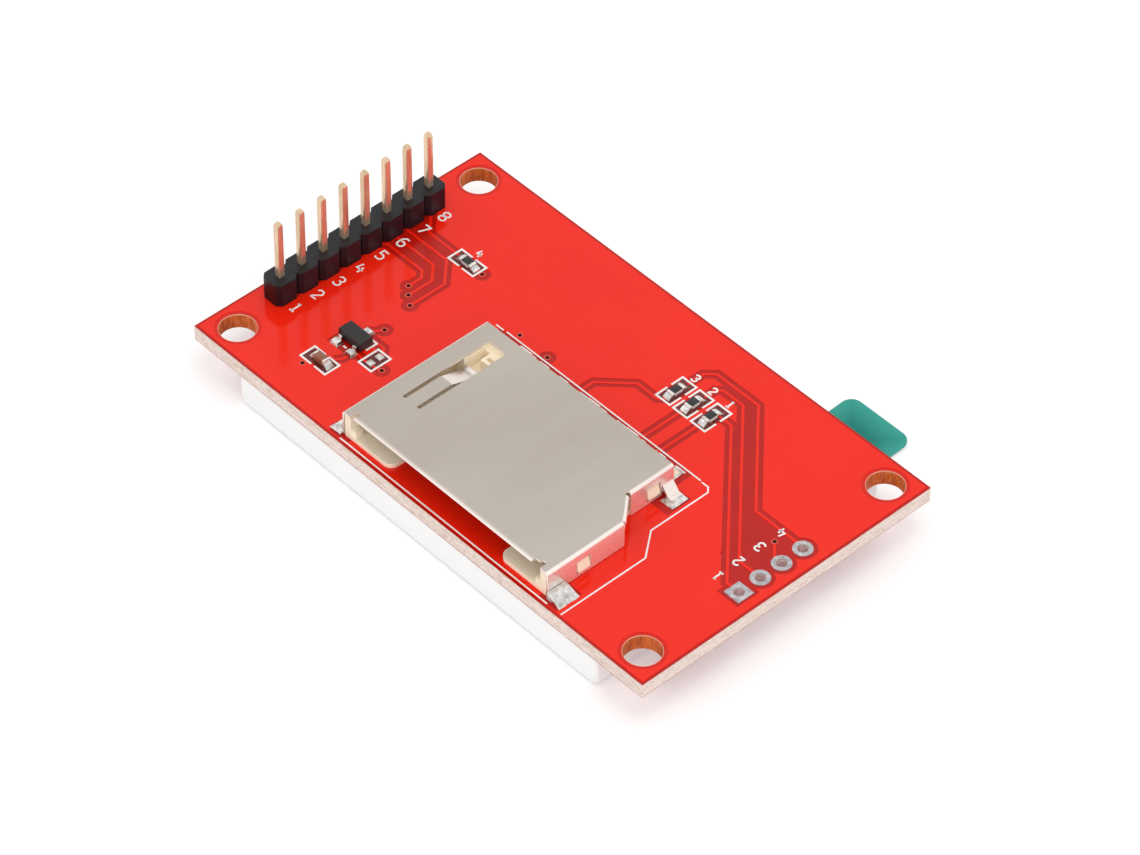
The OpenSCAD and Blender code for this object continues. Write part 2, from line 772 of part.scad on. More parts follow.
// joints between the tail's end and the lands under the board
module flex_solder() {
    l = 1.6;
    color([0.8, 0.8, 0.8]) for (i = [1:flex_pads])
        translate([flex_end - l / 2 - 0.1, (i - (flex_pads + 1) / 2) * flex_pitch, -board_t - solder_t])
            sheet(l, 0.6 * flex_pitch, solder_t);
}

module foam_tape(i) {
    y = (display_w / 2 - 1.2 - strip_w / 2) * (i == 1 ? -1 : 1);
    color([0.93, 0.93, 0.9]) translate([0, y, back_z]) sheet(display_l - 4, strip_w, tape_t);
}

// ---- film ----------------------------------------------------------------------------------

// stuck to the polariser, with a free border round it
module protective_film() {
    color([0.8, 0.88, 0.93, 0.4]) translate([0, 0, film_z])
        sheet(display_l - 0.4, display_w - 0.4, film_t);
}

// stuck to the inner side of the film's border, in the gap before the frame
module pull_tab() {
    from = panel_w / 2 - face_border + slip;
    to = display_w / 2 + tab_out;
    r = 1.2;
    color([0.15, 0.62, 0.55])
        translate([display_l / 2 - tab_end - tab_w / 2, 0, screen_z]) linear_extrude(tab_t) {
            translate([0, (from + to) / 2]) round_rect(tab_w, to - from, r);
            translate([-tab_w / 2, from]) square([tab_w, r]);
        }
}

// ---- nodes ---------------------------------------------------------------------------------

circuit_board();
header_body();
for (i = [1:pins]) header_pin(i);
header_solder();
for (i = [1:pads]) card_pad(i);
socket_shell();
socket_housing();
for (i = [1:contacts]) socket_contact(i);
contact_solder();
shell_solder();
for (i = [1:4]) resistor(i);
capacitor();
regulator_body();
for (i = [1:3]) regulator_lead(i);
chip_solder();
jumper_solder();
display_frame();
reflector_sheet();
light_guide();
diffuser_sheet();
for (i = [1:2]) prism_sheet(i);
led_strip();
rim_tape();
rear_polariser();
array_glass();
filter_glass();
front_polariser();
driver_chip();
flex_tail();
flex_solder();
for (i = [1:2]) foam_tape(i);
protective_film();
pull_tab();
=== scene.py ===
import json
import math

import bmesh
import bpy
from mathutils import Matrix, Vector

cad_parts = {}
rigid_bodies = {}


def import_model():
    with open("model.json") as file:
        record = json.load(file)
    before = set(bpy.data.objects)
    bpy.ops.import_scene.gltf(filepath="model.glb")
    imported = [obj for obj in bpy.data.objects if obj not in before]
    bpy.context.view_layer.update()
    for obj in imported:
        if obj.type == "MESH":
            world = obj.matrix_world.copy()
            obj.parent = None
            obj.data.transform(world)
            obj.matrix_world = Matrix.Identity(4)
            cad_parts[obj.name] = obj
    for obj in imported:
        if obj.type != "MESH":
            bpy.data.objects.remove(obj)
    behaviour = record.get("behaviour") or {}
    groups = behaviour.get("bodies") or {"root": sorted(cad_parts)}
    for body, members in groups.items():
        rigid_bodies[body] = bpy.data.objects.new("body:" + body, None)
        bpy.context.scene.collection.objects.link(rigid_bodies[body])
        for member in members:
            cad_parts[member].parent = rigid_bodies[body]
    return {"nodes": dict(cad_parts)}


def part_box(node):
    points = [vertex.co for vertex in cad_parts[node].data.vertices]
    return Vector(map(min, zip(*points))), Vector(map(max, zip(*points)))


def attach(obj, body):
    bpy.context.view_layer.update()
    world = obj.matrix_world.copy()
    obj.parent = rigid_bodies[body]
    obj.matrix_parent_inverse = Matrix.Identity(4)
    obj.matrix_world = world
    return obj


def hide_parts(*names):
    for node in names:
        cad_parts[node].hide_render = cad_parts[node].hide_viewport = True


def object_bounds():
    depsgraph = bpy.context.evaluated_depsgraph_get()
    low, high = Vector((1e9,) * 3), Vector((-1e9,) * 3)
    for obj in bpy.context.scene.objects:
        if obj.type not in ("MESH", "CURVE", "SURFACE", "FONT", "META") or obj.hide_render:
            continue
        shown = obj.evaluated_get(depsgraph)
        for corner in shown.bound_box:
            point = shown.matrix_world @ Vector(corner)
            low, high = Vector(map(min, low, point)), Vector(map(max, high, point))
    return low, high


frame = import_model()
cad_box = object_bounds()

# ---- circuit board -----------------------------------------------------------------------------
# A sawn piece of glass cloth laminate under red solder mask. Where no copper lies under the mask
# it looks darker. The sawn edges and the drilled holes show the pale laminate.

mm = 0.001
nodes = frame["nodes"]
board_low, board_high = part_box("circuit_board")
board_top = board_high.z
board_half = (board_high.z - board_low.z) / 2 / mm
# the hole centres lie this far in from the board's ends and sides
hole_x = board_high.x - 2.825 * mm
hole_y = board_high.y - 2.7 * mm
hole_r = 1.75


def new_material(name, roughness=0.5, metallic=0.0, **plain):
    """A material with these plain values on its shader; returns it and its shader."""
    material = bpy.data.materials.new(name)
    material.use_nodes = True
    shader = material.node_tree.nodes["Principled BSDF"]
    shader.inputs["Roughness"].default_value = roughness
    shader.inputs["Metallic"].default_value = metallic
    for socket, value in plain.items():
        shader.inputs[socket.replace("_", " ")].default_value = value
    return material, shader


def add(tree, kind, inputs=(), **settings):
    """Adds a node; inputs are numbers, colours or sockets for its first inputs, None to skip one."""
    made = tree.nodes.new(kind)
    for key, value in settings.items():
        setattr(made, key, value)
    for socket, value in zip(made.inputs, inputs):
        if isinstance(value, bpy.types.NodeSocket):
            tree.links.new(value, socket)
        elif value is not None:
            socket.default_value = value
    return made


def calc(tree, operation, a, b=None, c=None):
    """Result of a sum on numbers or sockets."""
    return add(tree, "ShaderNodeMath", (a, b, c), operation=operation).outputs[0]


def mix(tree, share, first, second):
    """Mix of two colours, each a socket or a red, green and blue; share is a socket or a number."""
    made = add(tree, "ShaderNodeMix", data_type="RGBA")
    for socket, value in zip((made.inputs[i] for i in (0, 6, 7)), (share, first, second)):
        if isinstance(value, bpy.types.NodeSocket):
            tree.links.new(value, socket)
        else:
            socket.default_value = (*value, 1) if isinstance(value, tuple) else value
    return made.outputs[2]


def spread(tree, value, low, high, out_low=0.0, out_high=1.0):
    """Value from low..high stretched to out_low..out_high and clamped."""
    return add(tree, "ShaderNodeMapRange", (value, low, high, out_low, out_high)).outputs[0]


def coordinates(tree, centre=(0, 0, 0), stretch=(1, 1, 1)):
    """Object coordinates in millimetres, from centre, pulled along the axes by stretch."""
    scale = [1 / mm / s for s in stretch]
    place = add(tree, "ShaderNodeTexCoord").outputs["Object"]
    shift = [-c * s for c, s in zip(centre, scale)]
    return add(tree, "ShaderNodeMapping", (place, shift, None, scale)).outputs[0]


def grain_group():
    """Shader group: a fine and a broad cloudy pattern, both from 0 to 1."""
    group = bpy.data.node_groups.new("surface_grain", "ShaderNodeTree")
    for name, kind, default in (
        ("Coordinates", "NodeSocketVector", None),
        ("Fine Size", "NodeSocketFloat", 0.2),
        ("Broad Size", "NodeSocketFloat", 4.0),
    ):
        socket = group.interface.new_socket(name, in_out="INPUT", socket_type=kind)
        if default is not None:
            socket.default_value = default
    for name in ("Fine", "Broad"):
        group.interface.new_socket(name, in_out="OUTPUT", socket_type="NodeSocketFloat")
    source = add(group, "NodeGroupInput")
    target = add(group, "NodeGroupOutput")
    for i, detail in ((1, 3.0), (2, 4.0)):
        scale = calc(group, "DIVIDE", 1.0, source.outputs[i])
        cloud = add(group, "ShaderNodeTexNoise", (source.outputs[0], None, scale, detail))
        group.links.new(spread(group, cloud.outputs[0], 0.3, 0.7), target.inputs[i - 1])
    return group


surface_grain = grain_group()


def grain(tree, place, fine, broad):
    """Outputs of the grain group: fine pattern, broad pattern."""
    made = add(tree, "ShaderNodeGroup", node_tree=surface_grain)
    tree.links.new(place, made.inputs[0])
    made.inputs[1].default_value = fine
    made.inputs[2].default_value = broad
    return made.outputs


def relief(tree, shader, height, depth):
    """Bump of that depth in millimetres into the shader's normal."""
    bump = add(tree, "ShaderNodeBump", (1.0, depth * mm, None, height))
    tree.links.new(bump.outputs[0], shader.inputs["Normal"])


fine_share, broad_share = 0.35, 0.65


def plain_finish(name, dark, light, roughness, fine=0.2, broad=3.0, depth=0.002, centre=(0, 0, 0),
                 stretch=(1, 1, 1), metallic=0.0, **plain):
    """A finish that drifts between two colours, with a fine relief and uneven gloss."""
    material, shader = new_material(name, metallic=metallic, **plain)
    tree = material.node_tree
    fine_out, broad_out = grain(tree, coordinates(tree, centre, stretch), fine, broad)
    broad_part = calc(tree, "MULTIPLY", broad_out, broad_share)
    share = calc(tree, "MULTIPLY_ADD", fine_out, fine_share, broad_part)
    tree.links.new(mix(tree, share, dark, light), shader.inputs["Base Color"])
    tree.links.new(spread(tree, fine_out, 0.0, 1.0, *roughness), shader.inputs["Roughness"])
    relief(tree, shader, fine_out, depth)
    return material


def centre_of(node):
    """Middle of a CAD node's box, in metres."""
    low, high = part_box(node)
    return (low + high) / 2


def dress(node, material):
    """Gives a CAD node its finish."""
    nodes[node].data.materials.clear()
    nodes[node].data.materials.append(material)


mask_gloss = 0.28
mask_bright, mask_warm = (0.88, 0.018, 0.004), (0.84, 0.014, 0.003)
mask_bare, mask_bare_light = (0.44, 0.006, 0.002), (0.506, 0.006, 0.002)
mask_run, mask_rim = (0.40, 0.06, 0.03), (0.86, 0.50, 0.36)
laminate_dark, laminate_light = (0.56, 0.38, 0.30), (0.95, 0.84, 0.76)
laminate_tint = (0.96, 0.82, 0.76)
# drilled walls: a painted red glow, painted highlights on the glass streaks and a painted lighter top
drilled_glow_dark, drilled_glow_light = (0.42, 0.062, 0.006), (0.78, 0.175, 0.018)
drilled_streak_highlight, drilled_top_lit = (0.85, 0.62, 0.40), (0.84, 0.52, 0.34)


def board_material():
    """Mask on both faces, glass cloth on the sawn edges, and in the drilled holes amber laminate with a
    painted glow of red light through the mask.
    """
    material, shader = new_material("board_laminate", Specular_IOR_Level=mask_gloss)
    tree = material.node_tree
    place = coordinates(tree)
    x, y, z = add(tree, "ShaderNodeSeparateXYZ", (place,)).outputs
    fine, broad = grain(tree, place, 0.12, 2.5)
    # glass bundles show on the sawn edge as pale dashes in layers
    layer = coordinates(tree, stretch=(3.5, 3.5, 0.8))
    dashes, tint = grain(tree, layer, 0.11, 0.5)
    edge = mix(tree, dashes, laminate_dark, laminate_light)
    edge = mix(tree, calc(tree, "MULTIPLY", tint, 0.6), edge, laminate_tint)
    # mask that ran over the upper and lower corner of the cut
    from_middle = calc(tree, "ABSOLUTE", calc(tree, "ADD", z, board_half))
    corner = spread(tree, from_middle, board_half - 0.10, board_half - 0.04)
    ragged = calc(tree, "MULTIPLY", corner, spread(tree, tint, 0.2, 0.6, 0.35, 0.9))
    edge = mix(tree, ragged, edge, mask_run)
    # the drilled walls are painted amber-red, a painted glow of the mask's red light in the laminate, with
    # pale glass streaks down the hole that carry painted highlights
    across = calc(tree, "SUBTRACT", calc(tree, "ABSOLUTE", x), hole_x / mm)
    along = calc(tree, "SUBTRACT", calc(tree, "ABSOLUTE", y), hole_y / mm)
    squares = [calc(tree, "POWER", part, 2.0) for part in (across, along)]
    away = calc(tree, "SQRT", calc(tree, "ADD", *squares))
    in_hole = calc(tree, "LESS_THAN", away, hole_r + 0.25)
    streaks, patches = grain(tree, coordinates(tree, stretch=(1, 1, 5)), 0.10, 0.6)
    wall = mix(tree, patches, drilled_glow_dark, drilled_glow_light)
    wall = mix(tree, spread(tree, streaks, 0.55, 1.0, 0.0, 0.3), wall, drilled_streak_highlight)
    # painted light: the top of the hole wall is lighter where light falls in
    wall = mix(tree, spread(tree, z, -0.14, -0.05, 0.0, 0.7), wall, drilled_top_lit)
    side = mix(tree, in_hole, edge, wall)
    # mask on both faces, thin and pale at the rim of the holes
    bare = mix(tree, broad, mask_bare, mask_bare_light)
    rim = spread(tree, away, hole_r + 0.01, hole_r + 0.05, 1.0, 0.0)
    # the ring left free round a hole is narrow, and red shines into it from both sides
    ring = spread(tree, away, hole_r + 0.60, hole_r + 0.45, 0.0, 0.45)
    bare = mix(tree, ring, bare, mask_bright)
    face = mix(tree, calc(tree, "MULTIPLY", rim, in_hole), bare, mask_rim)
    on_face = calc(tree, "GREATER_THAN", from_middle, board_half - 0.01)
    tree.links.new(mix(tree, on_face, side, face), shader.inputs["Base Color"])
    tree.links.new(spread(tree, on_face, 0.0, 1.0, 0.62, 0.18), shader.inputs["Roughness"])
    relief(tree, shader, fine, 0.003)
    return material


dress("circuit_board", board_material())

# ---- copper under the mask ---------------------------------------------------------------------
# One sheet of copper fills the face round the wires etched free of it. Mask lies over both, so the
# sheet and the wires stand up a little, bright red, from the darker bare laminate.

copper_h = 0.035
wire_w = 0.26
free_w = 1.1
# reach of the cutter to either side of the face, radii it frees, and the sheet's inset from the edge
cut_h = 0.1
via_free_r, hole_free_r, pad_free_r = 0.8, 2.12, 1.32
sheet_inset = 0.25


def only(made):
    """Selects a piece and nothing else."""
    bpy.ops.object.select_all(action="DESELECT")
    made.select_set(True)
    bpy.context.view_layer.objects.active = made


def start_mesh(name):
    """An empty mesh object at the origin, in edit mode; the next primitives go into it."""
    bpy.ops.object.select_all(action="DESELECT")
    bpy.ops.mesh.primitive_plane_add(size=mm)
    made = bpy.context.object
    made.name = made.data.name = name
    bpy.ops.object.mode_set(mode="EDIT")
    bpy.ops.mesh.delete(type="VERT")
    return made


def end_mesh(made, material=None, smooth=None):
    """Leaves edit mode with normals outwards; a finished piece gets its finish and rides."""
    bpy.ops.mesh.select_all(action="SELECT")
    bpy.ops.mesh.normals_make_consistent(inside=False)
    bpy.ops.object.mode_set(mode="OBJECT")
    if smooth is not None:
        bpy.ops.object.shade_smooth_by_angle(angle=math.radians(smooth))
    if material is not None:
        made.data.materials.append(material)
        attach(made, "root")
    return made


def apply(made, kind, **settings):
    """Adds a modifier to a piece and applies it."""
    only(made)
    modifier = made.modifiers.new(kind.lower(), kind)
    for key, value in settings.items():
        setattr(modifier, key, value)
    bpy.ops.object.modifier_apply(modifier=modifier.name)


def draw_line(points):
    """In edit mode: draws a line point by point, in millimetres, at the height of the face."""
    bpy.ops.mesh.select_all(action="DESELECT")
    start = Vector(points[0]) * mm
    bpy.ops.mesh.primitive_plane_add(size=mm, location=(start.x, start.y, 0))
    bpy.ops.mesh.merge(type="CENTER")
    for a, b in zip(points, points[1:]):
        step = ((b[0] - a[0]) * mm, (b[1] - a[1]) * mm, 0)
        bpy.ops.mesh.extrude_region_move(TRANSFORM_OT_translate={"value": step})


def lines_mesh(name, lines, width, low, high):
    """Strips of one width along the lines, from low to high, in millimetres."""
    made = start_mesh(name)
    for points in lines:
        draw_line(points)
    bpy.ops.mesh.select_all(action="SELECT")
    bpy.ops.mesh.remove_doubles(threshold=0.002 * mm)
    bpy.ops.transform.translate(value=(0, 0, low * mm))
    bpy.ops.mesh.extrude_region_move(TRANSFORM_OT_translate={"value": (0, 0, (high - low) * mm)})
    bpy.ops.object.mode_set(mode="OBJECT")
    apply(made, "SOLIDIFY", thickness=width * mm, offset=0, use_even_offset=True)
    bpy.ops.object.mode_set(mode="EDIT")
    return made


# wires from the header to their vias and to the resistor beside it
header_wires = [
    [(-26.6, 8.85), (-24.2, 6.45), (-20.2, 6.45)],
    [(-26.97, 6.35), (-25.8, 5.2), (-20.45, 5.2), (-18.2, 2.95), (-18.2, -1.2)],
    [(-26.97, 3.9), (-20.8, 3.9), (-19.3, 2.4), (-19.3, -0.4)],
    [(-26.97, 1.27), (-25.6, 2.65), (-20.9, 2.65), (-20.2, 1.95), (-20.2, 0.4)],
]
regulator_wires = [
    [(-17.35, -4.95), (-18.05, -6.0)],
    [(-17.9, -6.55), (-15.7, -6.55), (-15.0, -7.25)],
    [(-17.1, -8.8), (-14.95, -8.8), (-13.65, -8.55)],
    [(-17.1, -9.1), (-17.1, -10.1), (-17.55, -10.75)],
    [(-18.2, 6.3), (-16.85, 6.3)],
]
card_wires = [
    [(5.8, 10.3), (5.8, 12.25), (6.65, 13.1), (11.9, 13.1), (21.05, 3.95), (26.15, 3.95)],
    [(8.0, 10.3), (8.0, 11.6), (8.5, 12.1), (11.0, 12.1), (24.35, -1.25), (26.15, -1.25)],
    [(10.24, 9.6), (12.1, 9.6), (25.5, -3.8), (26.15, -3.8)],
    [(24.75, 2.6), (26.0, 1.35), (26.15, 1.33)],
    [(5.8, 7.6), (5.3, 7.1), (2.75, 7.1), (0, 4.35), (0, 1.5)],
    [(7.9, 7.6), (7.9, 1.5)],
    [(10.15, 7.6), (10.15, 1.5)],
]
# lines where the sheet is too narrow to be left between two wires
slivers = [
    [(-26.6, 7.6), (-25.2, 5.85), (-20.6, 5.85)],
    [(-26.6, 4.55), (-20.6, 4.55), (-18.75, 2.7), (-18.75, -0.6)],
    [(-26.6, 3.25), (-20.9, 3.25), (-19.75, 2.1), (-19.75, 0.2)],
    [(9.0, 12.6), (11.45, 12.6), (21.0, 3.05)],
]
vias = [
    (-20.2, 0.4), (-19.3, -0.4), (-18.2, -1.2), (-16.85, 6.3), (-17.35, -4.95), (-13.65, -8.55),
    (-5.01, 3.41), (-8.76, 3.52), (-19.1, -13.1), (24.75, 2.6),
]
# two vias join the sheet; it is cut free of the others
free_vias = vias[:7] + vias[9:]


# rectangles round the pads, feet and small parts without copper: low x, high x, low y, high y
free_places = [
    (25.6, 28.15, -5.1, -2.5), (22.5, 27.0, -1.8, 4.2), (20.5, 22.6, 1.2, 3.5),
    # painted shade: the strip behind the socket, x -10.6 to 14.2, is kept free of copper so it shows
    # darker, for the shade under the back of the shell
    (-10.6, 14.2, 0.5, 2.85), (24.3, 26.5, -3.5, 0), (-28.1, -25.95, -9.6, 9.6),
    (-19.9, -16.4, -9.6, -8.3), (-18.7, -17.3, -7.0, -5.7), (-19.9, -16.6, -12.5, -10.9),
    (-15.9, -14.1, -9.4, -6.9), (-20.5, -17.2, 5.5, 7.1),
    (4.95, 6.65, 7.4, 10.5), (7.15, 8.85, 7.4, 10.5), (9.39, 11.09, 7.4, 10.5),
    (-11.15, -8.85, -16.8, -13.8), (15.85, 18.15, -16.8, -13.8), (-11.2, -8.6, -1.2, 1.4),
    (13.0, 16.3, -2.1, 0.8),
]
# round places without copper: x, y, radius, sides
free_rounds = [(x, y, via_free_r, 40) for x, y in free_vias]
free_rounds += [
    (x * hole_x / mm, y * hole_y / mm, hole_free_r, 64) for x in (-1, 1) for y in (-1, 1)
]
free_rounds += [(*(centre_of(f"card_pad_{i}").xy / mm), pad_free_r, 40) for i in range(2, 5)]

cutter = lines_mesh(
    "cutter", header_wires + regulator_wires + card_wires + slivers, free_w, -cut_h, cut_h
)
bpy.ops.mesh.select_all(action="DESELECT")
for x, y, radius, sides in free_rounds:
    bpy.ops.mesh.primitive_cylinder_add(
        vertices=sides, radius=radius * mm, depth=2 * cut_h * mm, location=(x * mm, y * mm, 0)
    )
for x0, x1, y0, y1 in free_places:
    bpy.ops.mesh.primitive_cube_add(
        size=1,
        location=((x0 + x1) / 2 * mm, (y0 + y1) / 2 * mm, 0),
        scale=((x1 - x0) * mm, (y1 - y0) * mm, 2 * cut_h * mm),
    )
end_mesh(cutter)

sheet = start_mesh("copper_sheet")
sheet_l = board_high.x - board_low.x - 2 * sheet_inset * mm
sheet_w = board_high.y - board_low.y - 2 * sheet_inset * mm
bpy.ops.mesh.primitive_cube_add(
    size=1,
    location=(0, 0, board_top + copper_h / 2 * mm),
    scale=(sheet_l, sheet_w, copper_h * mm),
)
bpy.ops.object.mode_set(mode="OBJECT")
apply(sheet, "BOOLEAN", object=cutter, operation="DIFFERENCE", solver="EXACT", use_self=True)
bpy.data.objects.remove(cutter)
mask_over_copper = plain_finish(
    "mask_over_copper", mask_warm, mask_bright, (0.08, 0.16), fine=0.5, broad=9, depth=0.0008,
    Specular_IOR_Level=mask_gloss,
)
bpy.ops.object.mode_set(mode="EDIT")
end_mesh(sheet, mask_over_copper)

wires = lines_mesh("wires", header_wires + regulator_wires + card_wires, wire_w, 0, copper_h - 0.001)
end_mesh(wires, mask_over_copper)

# a via is a small plated hole; its ring shows through the mask, and a near-black disc over the hole is
# painted shade
via_ring = plain_finish("via_ring", (0.72, 0.055, 0.03), (0.84, 0.13, 0.08), (0.3, 0.45), depth=0.001)
# painted shade: the near-black disc stands for the dark inside of the hole
via_painted_shade = plain_finish(
    "via_hole", (0.02, 0.003, 0.002), (0.05, 0.008, 0.005), (0.6, 0.8), Specular_IOR_Level=0.1
)
for name, radius, top, material in (
    ("via_rings", 0.30, 0.045, via_ring),
    ("via_holes", 0.20, 0.050, via_painted_shade),
):
    made = start_mesh(name)
    for x, y in vias:
        bpy.ops.mesh.select_all(action="DESELECT")
        bpy.ops.mesh.primitive_cylinder_add(
            vertices=24, radius=radius * mm, depth=top * mm, location=(x * mm, y * mm, top / 2 * mm)
        )
    end_mesh(made, material)

# ---- printing ----------------------------------------------------------------------------------
# White ink lines on the mask: the socket's outline, a frame round each small part, and plain
# numbers beside the pins and pads.

ink_h = 0.05
outline_w = 0.15
frame_w = 0.20
number_w = 0.165


def two_ends(x0, x1, y0, y1, gap, upright):
    """Frame of a chip part as two U-shaped ends, open by gap in the middle of its long sides."""
    if upright:
        y = (y0 + y1) / 2
        return [
            [(x0, y - gap), (x0, y0), (x1, y0), (x1, y - gap)],
            [(x0, y + gap), (x0, y1), (x1, y1), (x1, y + gap)],
        ]
    x = (x0 + x1) / 2
    return [
        [(x - gap, y0), (x0, y0), (x0, y1), (x - gap, y1)],
        [(x + gap, y0), (x1, y0), (x1, y1), (x + gap, y1)],
    ]


outline = [
    [(-9.8, -16.77), (17.0, -16.77)],
    [(18.72, -16.77), (18.72, -6.95), (16.66, -4.35), (16.66, 2.4), (16.2, 2.88), (15.4, 2.88)],
    [(15.2, 2.94), (-9.85, 2.94)],
    [(-10.2, 2.88), (-11.2, 2.88)],
    [(-11.95, 1.7), (-11.95, -12.9)],
]
frames = [
    [(-17.2, -6.62), (-16.5, -6.62), (-16.5, -7.9)],
    [(-18.3, -9.0), (-17.9, -9.0)],
    [(-15.85, -9.33), (-14.2, -9.33), (-14.2, -7.0), (-15.85, -7.0), (-15.85, -9.33)],
]
frames += two_ends(-19.95, -16.65, -12.6, -10.9, 0.2, False)
frames += two_ends(-20.55, -17.25, 5.5, 7.15, 0.2, False)
# number and x of the three resistors by the socket
card_resistors = ((3, 5.75), (2, 7.95), (1, 10.2))
for value, x in card_resistors:
    frames += two_ends(x - 0.88, x + 0.88, 7.35, 10.6, 0.25, True)

# strokes of each number, across and up, in parts of its height
strokes = {
    1: [[(0.3, 1), (0.3, 0)], [(0.1, 0.86), (0.3, 0.93)], [(0.08, 0), (0.52, 0)]],
    2: [[(0, 0.8), (0.15, 1), (0.45, 1), (0.6, 0.8), (0.6, 0.65), (0.06, 0.08)], [(0, 0), (0.6, 0)]],
    3: [[(0, 0.85), (0.15, 1), (0.45, 1), (0.6, 0.85), (0.6, 0.67), (0.45, 0.54), (0.25, 0.54)],
        [(0.43, 0.5), (0.6, 0.38), (0.6, 0.15), (0.45, 0), (0.15, 0), (0, 0.15)]],
    4: [[(0.15, 1), (0, 0.38), (0.65, 0.38)], [(0.45, 0.72), (0.45, 0)]],
    5: [[(0.58, 1), (0.05, 1), (0.05, 0.58), (0.42, 0.58), (0.6, 0.42), (0.6, 0.15), (0.45, 0), (0.1, 0),
         (0, 0.1)]],
    6: [[(0.55, 1), (0.25, 1), (0, 0.7), (0, 0.15), (0.15, 0), (0.45, 0), (0.6, 0.15), (0.6, 0.4),
         (0.45, 0.55), (0, 0.55)]],
    7: [[(0, 1), (0.6, 1), (0.2, 0)]],
    8: [[(0.15, 0.55), (0, 0.68), (0, 0.87), (0.15, 1), (0.45, 1), (0.6, 0.87), (0.6, 0.68),
         (0.45, 0.55), (0.15, 0.55)],
        [(0.15, 0.47), (0, 0.34), (0, 0.13), (0.15, 0), (0.45, 0), (0.6, 0.13), (0.6, 0.34),
         (0.45, 0.47), (0.15, 0.47)]],
}


def number(value, x, y, height, way=1):
    """Lines of a plain number whose middle is at x, y in millimetres; way -1 turns it upside down."""
    return [
        [(x + way * (u - 0.3) * height, y + way * (v - 0.5) * height) for u, v in stroke]
        for stroke in strokes[value]
    ]


numbers = []
for i in range(1, 9):
    numbers += number(i, -24.85, centre_of(f"header_pin_{i}").y / mm, 1.15)
for i in range(1, 5):
    numbers += number(i, 24.35, centre_of(f"card_pad_{i}").y / mm - 0.04, 1.0, -1)
for value, x in card_resistors:
    numbers += number(value, x, 11.35, 0.85)
numbers += number(4, -19.0, 7.95, 0.85)
white_ink = plain_finish(
    "white_ink", (0.80, 0.78, 0.75), (0.93, 0.92, 0.90), (0.5, 0.7), fine=0.15, broad=2
)
for name, lines, width in (
    ("printed_outline", outline, outline_w),
    ("printed_frames", frames, frame_w),
    ("printed_numbers", numbers, number_w),
):
    end_mesh(lines_mesh(name, lines, width, 0.01, ink_h), white_ink)

# ---- bare windows ------------------------------------------------------------------------------
# Inside the frames of the small parts the laminate carries neither copper nor much mask; it is painted
# near-black, painted shade round the parts and a painted reflection of their dark sides.

# low x, high x, low y, high y
windows = [(x - 0.7, x + 0.7, 7.5, 10.45) for value, x in card_resistors]
windows += [(-20.4, -17.4, 5.65, 7.0), (-19.8, -16.8, -12.45, -11.05), (-15.7, -14.35, -9.18, -7.15)]
# bare laminate under painted shade and a painted reflection of the dark parts
painted_shade_window = plain_finish(
    "painted_shade_window", (0.07, 0.006, 0.004), (0.17, 0.012, 0.008), (0.2, 0.35), fine=0.2, broad=0.8
)


def pick(made, test, kind="FACE", among=False):
    """In edit mode: selects the faces or edges, of all or of the selected ones, that pass the test on
    their middle in millimetres and their normal or direction."""
    grid = bmesh.from_edit_mesh(made.data)
    grid.normal_update()
    found = []
    for part in grid.faces if kind == "FACE" else grid.edges:
        if kind == "FACE":
            middle, aim = part.calc_center_median() / mm, part.normal
        else:
            a, b = part.verts[0].co, part.verts[1].co
            middle, aim = (a + b) / 2 / mm, (b - a).normalized()
        if (part.select or not among) and test(middle, aim):
            found.append(part)
    bpy.ops.mesh.select_mode(type=kind)
    bpy.ops.mesh.select_all(action="DESELECT")
    for part in found:
        part.select_set(True)
    bmesh.update_edit_mesh(made.data)


def block(made, low, high, rounding=0.0, top=None, about=None):
    """In edit mode: adds a block between two corners in millimetres, its top drawn in by two shares
    about a point, its edges rounded; leaves only it selected."""
    low, high = Vector(low), Vector(high)
    bpy.ops.mesh.select_all(action="DESELECT")
    bpy.ops.mesh.primitive_cube_add(size=1, location=(low + high) / 2 * mm, scale=(high - low) * mm)
    if top is not None:
        centre = Vector(about) if about is not None else (low + high) / 2
        pick(made, lambda middle, aim: aim.z > 0.9, among=True)
        bpy.ops.transform.resize(value=(*top, 1), center_override=centre * mm)
        bpy.ops.mesh.select_linked()
    if rounding:
        bpy.ops.mesh.bevel(offset=rounding * mm, segments=3, affect="EDGES")
        bpy.ops.mesh.select_linked()


made = start_mesh("painted_shade_windows")
for x0, x1, y0, y1 in windows:
    block(made, (x0, y0, -0.01), (x1, y1, 0.015))
end_mesh(made, painted_shade_window)

# ---- pin header --------------------------------------------------------------------------------
# Eight square pins of gold-plated brass, their ends drawn in and rounded, pressed through one strip
# of black moulded plastic and soldered from below.

# the drawn end of a pin in steps: rise, and the share that is left of the width before
pin_end = ((0.20, 0.86), (0.12, 0.76), (0.07, 0.62))
pin_pitch, groove_half = 2.54, 0.05
moulded_dark, moulded_light = (0.004, 0.004, 0.0065), (0.010, 0.009, 0.0125)
groove_painted_shade = (0.0015, 0.0012, 0.0015)


